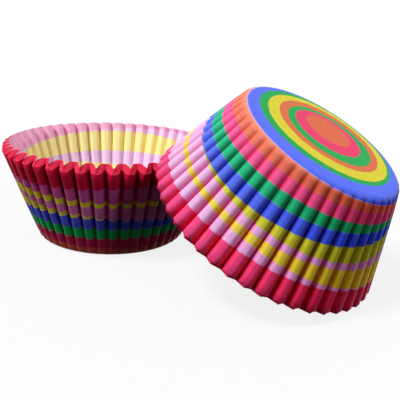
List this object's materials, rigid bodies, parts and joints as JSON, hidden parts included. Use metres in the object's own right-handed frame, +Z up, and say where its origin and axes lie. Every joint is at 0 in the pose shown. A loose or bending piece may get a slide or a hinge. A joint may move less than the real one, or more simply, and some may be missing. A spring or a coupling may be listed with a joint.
{
  "type": "stack of cupcake liners",
  "caption": "Fluted paper cupcake liners with a rainbow ring print, nested inside each other, some upright and some upside down and leaning on the upright rim.",
  "frame": {"origin": "centre of the upright nest's flat base, on the surface it stands on", "axes": "+Z up; +X from the upright nest towards the leaning one; +Y to the left of that"},
  "size_m": [0.1358, 0.074, 0.0579],
  "materials": {
    "printed_paper": "matt baking paper, printed outside with coloured rings that show palely through on the inside"
  },
  "bodies": {
    "root": {"upright_liner_1": "printed_paper", "upright_liner_2": "printed_paper", "upright_liner_3": "printed_paper", "upright_liner_4": "printed_paper", "upright_liner_5": "printed_paper", "leaning_liner_1": "printed_paper", "leaning_liner_2": "printed_paper", "leaning_liner_3": "printed_paper"}
  },
  "joints": []
}
